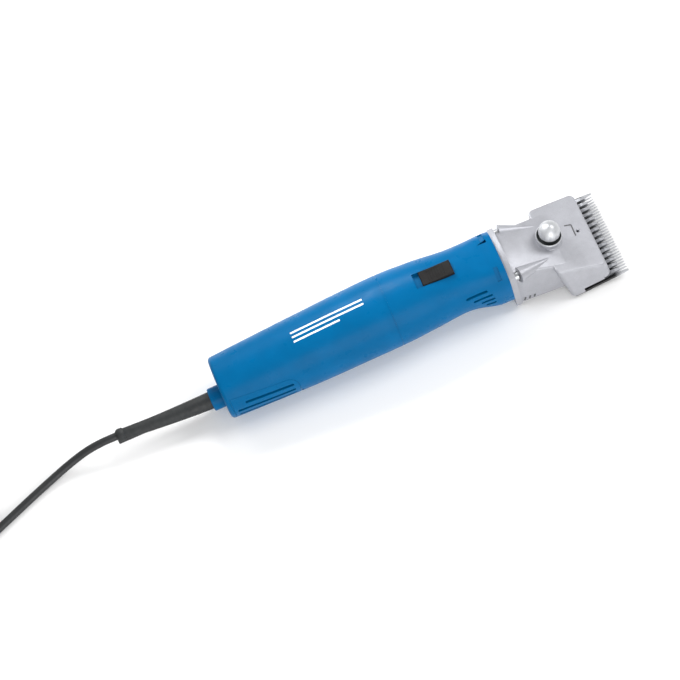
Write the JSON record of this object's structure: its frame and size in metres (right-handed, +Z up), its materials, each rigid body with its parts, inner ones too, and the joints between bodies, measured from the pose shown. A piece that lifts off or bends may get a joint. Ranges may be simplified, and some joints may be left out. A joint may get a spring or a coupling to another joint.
{
  "type": "sheep shears",
  "caption": "Mains-powered animal shears: rounded blue handle with sliding switch, cast head with tension knob, comb and cutter blades, and a corded plug.",
  "frame": {"origin": "on the resting surface under the middle of the tool, measured without the lead and its boot", "axes": "+X runs along the handle from the lead's end to the comb's tips, +Z is up with the tool lying on its underside, -Y is the side that carries the marks"},
  "size_m": [0.6605, 0.129, 0.0656],
  "materials": {
    "blue_housing": "semi-gloss moulded plastic",
    "boot_rubber": "matte",
    "lead_jacket": "satin jacket",
    "plug_plastic": "satin",
    "plug_brass": "nickel-plated, polished",
    "switch_plastic": "matte",
    "inner_plastic": "matte",
    "filter_mesh": "open mat",
    "screw_steel": "zinc-plated",
    "bearing_steel": "ground",
    "shaft_steel": "ground",
    "gear_steel": "hardened",
    "copper_bars": "copper, turned",
    "winding_copper": "enamelled copper wire",
    "core_steel": "laminated sheet",
    "holder_brass": "stamped",
    "carbon": "pressed carbon",
    "spring_steel": "spring wire",
    "fan_plastic": "moulded",
    "seal_rubber": "soft",
    "plate_aluminium": "machined",
    "casting_aluminium": "cast, sand texture, satin",
    "blade_steel": "ground and polished",
    "knob_chrome": "polished"
  },
  "bodies": {
    "tool": {"rear_housing": "blue_housing", "front_housing": "blue_housing", "cord_collar": "blue_housing", "strain_relief_boot": "boot_rubber", "inner_lead": "lead_jacket", "mains_lead": "lead_jacket", "lead_coil": "lead_jacket", "lead_tail": "lead_jacket", "mains_plug": "plug_plastic", "plug_pins": "plug_brass", "cord_clamp": "inner_plastic", "cord_clamp_screws": "screw_steel", "rear_bearing": "bearing_steel", "bearing_rubber_ring": "seal_rubber", "rear_bearing_carrier": "inner_plastic", "stator_core": "core_steel", "field_coils": "winding_copper", "brush_holders": "holder_brass", "carbon_brushes": "carbon", "brush_springs": "spring_steel", "front_bearing": "bearing_steel", "gear_plate": "plate_aluminium", "switch_block": "inner_plastic", "switch_contacts": "holder_brass", "suppressor": "inner_plastic", "crank_rear_bearing": "bearing_steel", "crank_front_bearing": "bearing_steel", "crank_rear_support": "plate_aluminium", "crank_front_support": "plate_aluminium", "head_casting": "casting_aluminium", "head_screws": "screw_steel", "comb": "blade_steel", "comb_screws": "screw_steel", "tension_sleeve": "shaft_steel", "pressure_pin": "shaft_steel", "pressure_spring": "spring_steel"},
    "armature": {"armature_shaft": "shaft_steel", "armature_core": "core_steel", "armature_windings": "winding_copper", "commutator": "copper_bars", "cooling_fan": "fan_plastic", "motor_pinion": "gear_steel"},
    "crank": {"crank_shaft": "shaft_steel", "crank_gear": "gear_steel", "crank_roller": "bearing_steel"},
    "rocker": {"rocker_lever": "gear_steel", "drive_tips": "gear_steel", "cutter": "blade_steel"},
    "spring_carrier": {"spring_seat": "shaft_steel"},
    "knob": {"tension_knob": "knob_chrome"},
    "switch": {"switch_slider": "switch_plastic"},
    "cover": {"vent_filter_cover": "blue_housing", "filter_mats": "filter_mesh"}
  },
  "joints": [
    {"name": "crank_spin", "type": "hinge", "parent": "tool", "child": "crank", "pos_m": [0.0267, 0, 0.0215], "axis": [1, 0, 0], "continuous": true},
    {"name": "armature_spin", "type": "hinge", "parent": "tool", "child": "armature", "pos_m": [-0.08329, 0, 0.035], "axis": [1, 0, 0], "continuous": true},
    {"name": "rocker_swing", "type": "hinge", "parent": "tool", "child": "rocker", "pos_m": [0.11871, 0, 0.014], "axis": [-0.1132, 0, 0.9936], "range_deg": [-3, 3]},
    {"name": "knob_travel", "type": "slide", "parent": "tool", "child": "spring_carrier", "axis": [0.1736, 0, 0.9848], "range_m": [-0.001, 0.001], "deforming": ["pressure_spring"]},
    {"name": "knob_turn", "type": "hinge", "parent": "spring_carrier", "child": "knob", "pos_m": [0.11871, 0, 0.014], "axis": [0.1736, 0, 0.9848], "range_deg": [-360, 360]},
    {"name": "switch_slide", "type": "slide", "parent": "tool", "child": "switch", "axis": [1, 0, 0], "range_m": [0, 0.003]},
    {"name": "cover_release", "type": "slide", "parent": "tool", "child": "cover", "axis": [0, 0, -1], "range_m": [0, 0.012]}
  ],
  "couplings": [
    {"joint": "armature_spin", "follows": "crank_spin", "ratio": -4},
    {"joint": "knob_turn", "follows": "knob_travel", "rad_per_m": 6283.2}
  ]
}
